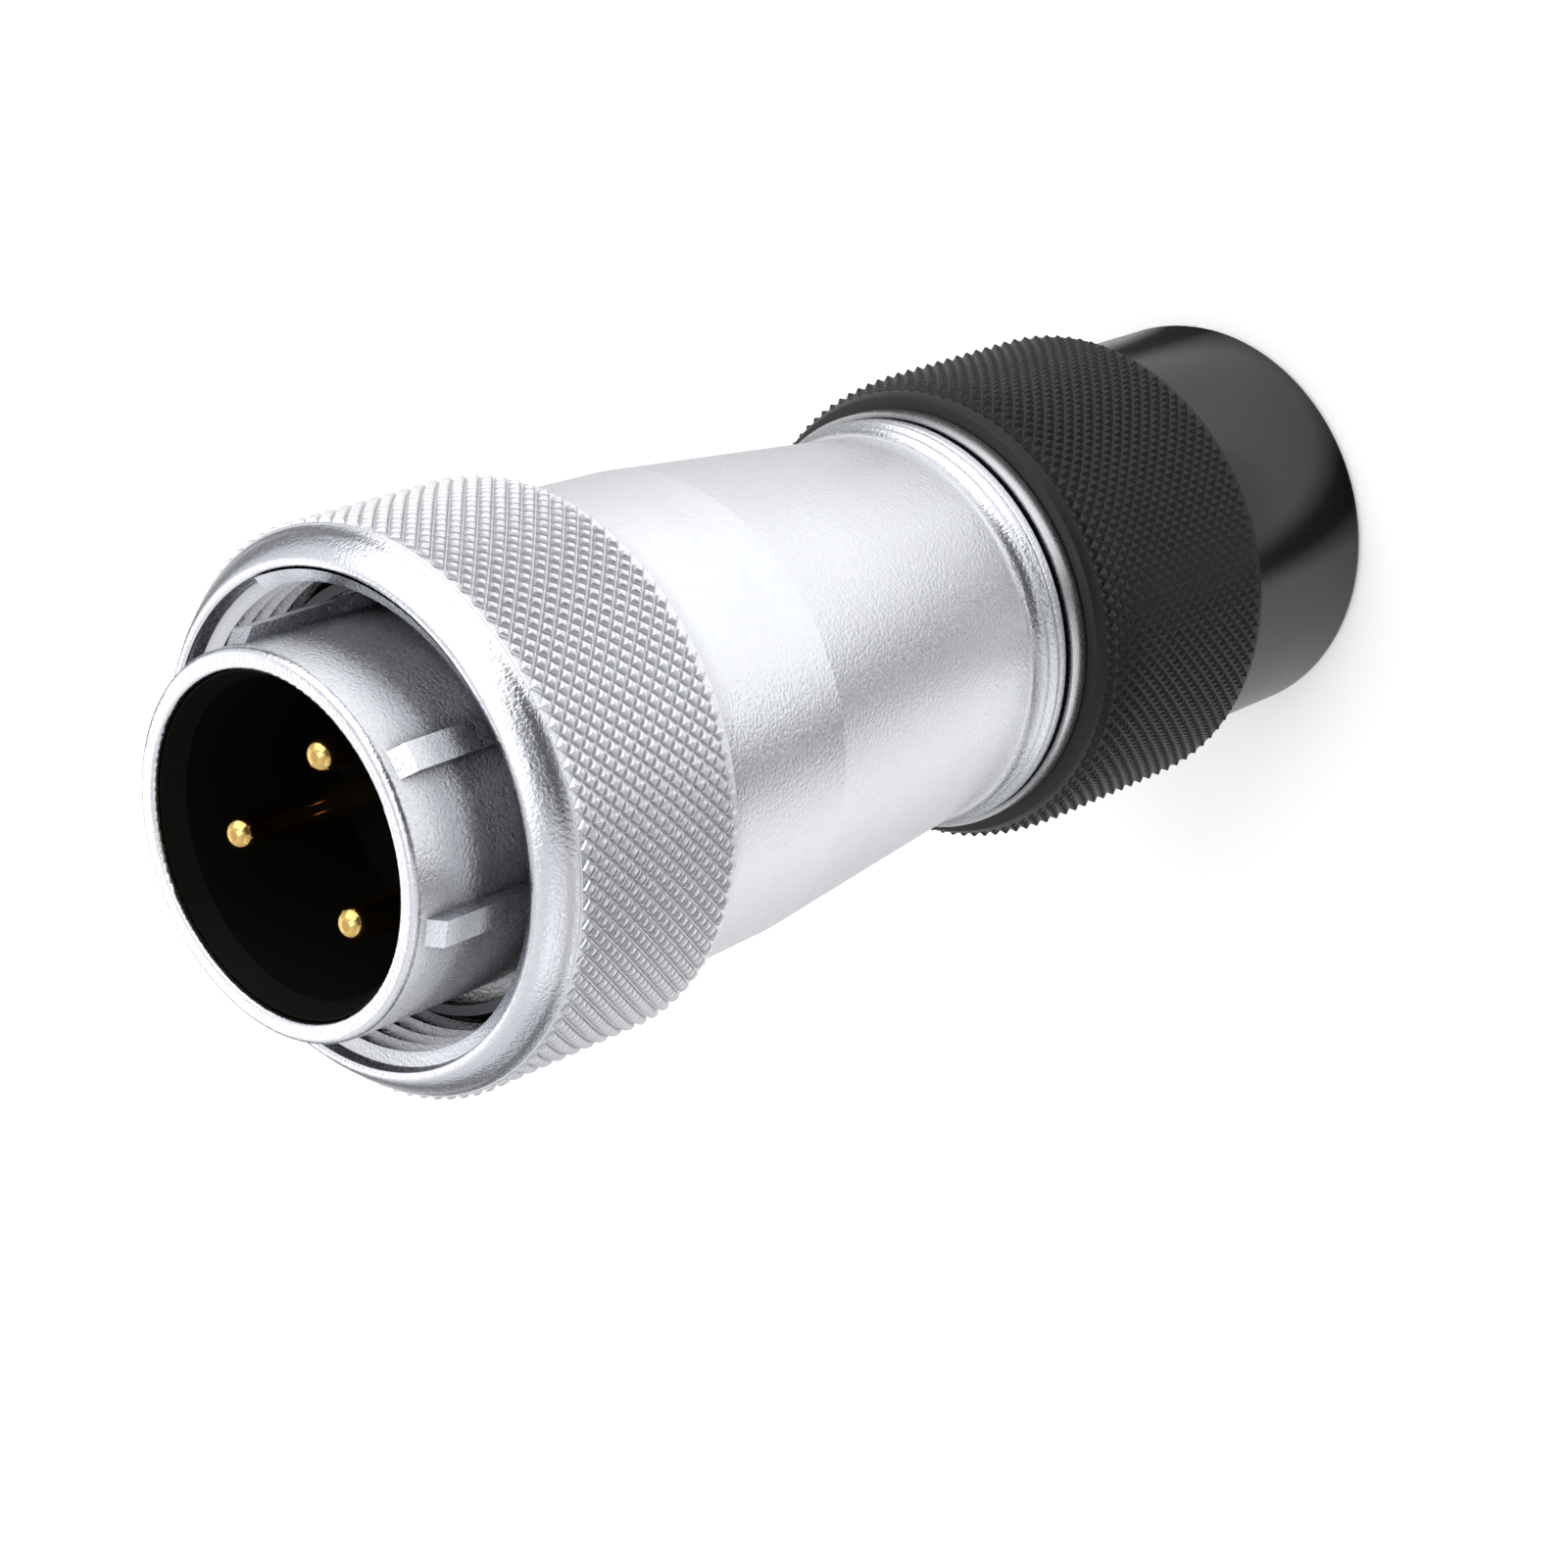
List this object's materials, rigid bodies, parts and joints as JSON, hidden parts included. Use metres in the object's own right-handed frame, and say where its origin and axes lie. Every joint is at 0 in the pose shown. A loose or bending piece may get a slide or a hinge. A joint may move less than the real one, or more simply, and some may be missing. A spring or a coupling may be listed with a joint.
{
  "type": "circular power connector plug",
  "caption": "Circular threaded cable plug: keyed metal barrel with gold pins, knurled captive coupling nut, tapered back shell, black knurled clamping nut and smooth cable outlet.",
  "frame": {"origin": "centre of the outlet sleeve's open end face, the end the plug stands on", "axes": "+Z along the connector's axis from the cable outlet to the mating mouth; the narrow top key lies near -Y"},
  "size_m": [0.0386, 0.0386, 0.098],
  "materials": {
    "satin_nickel": "satin nickel plating over a fine cast grain",
    "white_zinc": "bright plated washer",
    "inner_steel": "plain plated steel",
    "lock_brass": "turned brass",
    "gold_contact": "polished gold plating",
    "insert_black": "moulded, matt",
    "seal_rubber": "moulded rubber",
    "gasket_grey": "moulded rubber",
    "black_matte": "black anodised, matt knurl",
    "black_gloss": "black anodised, glossy"
  },
  "bodies": {
    "plug_body": {"plug_shell": "satin_nickel", "front_insert": "insert_black", "rear_insert": "insert_black", "insert_seal": "seal_rubber", "face_gasket": "gasket_grey", "pin_contact_1": "gold_contact", "pin_contact_2": "gold_contact", "pin_contact_3": "gold_contact", "insert_lock_ring": "lock_brass", "shell_o_ring": "seal_rubber", "nut_slip_ring": "inner_steel", "rear_shell": "satin_nickel", "collar_seal": "seal_rubber", "thrust_washer": "white_zinc", "grommet_seat": "inner_steel", "cable_grommet": "seal_rubber", "grommet_washer": "inner_steel"},
    "coupling_nut": {"coupling_nut": "satin_nickel"},
    "outlet": {"outlet_sleeve": "black_gloss"},
    "clamping_nut": {"clamping_nut": "black_matte"}
  },
  "joints": [
    {"name": "coupling_nut_spin", "type": "hinge", "parent": "plug_body", "child": "coupling_nut", "pos_m": [0, 0, 0.085], "axis": [0, 0, 1], "continuous": true},
    {"name": "outlet_slide", "type": "slide", "parent": "plug_body", "child": "outlet", "axis": [0, 0, -1], "range_m": [0, 0.0045]},
    {"name": "clamping_nut_spin", "type": "hinge", "parent": "outlet", "child": "clamping_nut", "pos_m": [0, 0, 0.026], "axis": [0, 0, -1], "range_deg": [0, 1080]}
  ],
  "couplings": [
    {"joint": "clamping_nut_spin", "follows": "outlet_slide", "rad_per_m": 4188}
  ]
}
